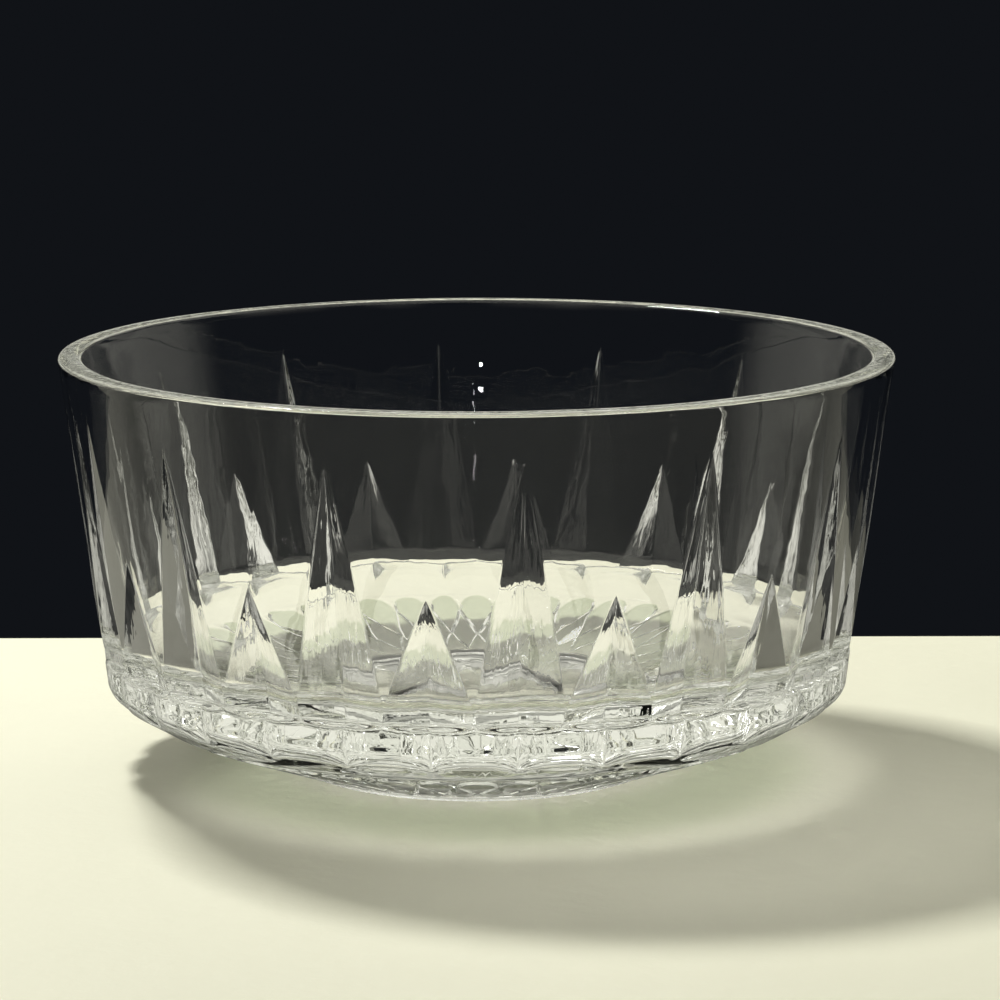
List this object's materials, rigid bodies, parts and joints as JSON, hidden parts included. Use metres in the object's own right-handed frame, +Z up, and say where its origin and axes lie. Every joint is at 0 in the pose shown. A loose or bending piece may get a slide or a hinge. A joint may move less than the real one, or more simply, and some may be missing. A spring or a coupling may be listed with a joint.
{
  "type": "serving bowl",
  "caption": "Round clear glass serving bowl with a flared wall, long and short mitre cuts above a notched heel, and a base that slopes in to a small foot, with a diamond lattice on the slope.",
  "frame": {"origin": "centre of the foot, on the surface the bowl stands on", "axes": "+Z up along the bowl's axis; the picture looks along +Y, with +X to its right"},
  "size_m": [0.2286, 0.2286, 0.1145],
  "materials": {
    "crystal": "polished clear glass"
  },
  "bodies": {
    "root": {"bowl": "crystal"}
  },
  "joints": []
}
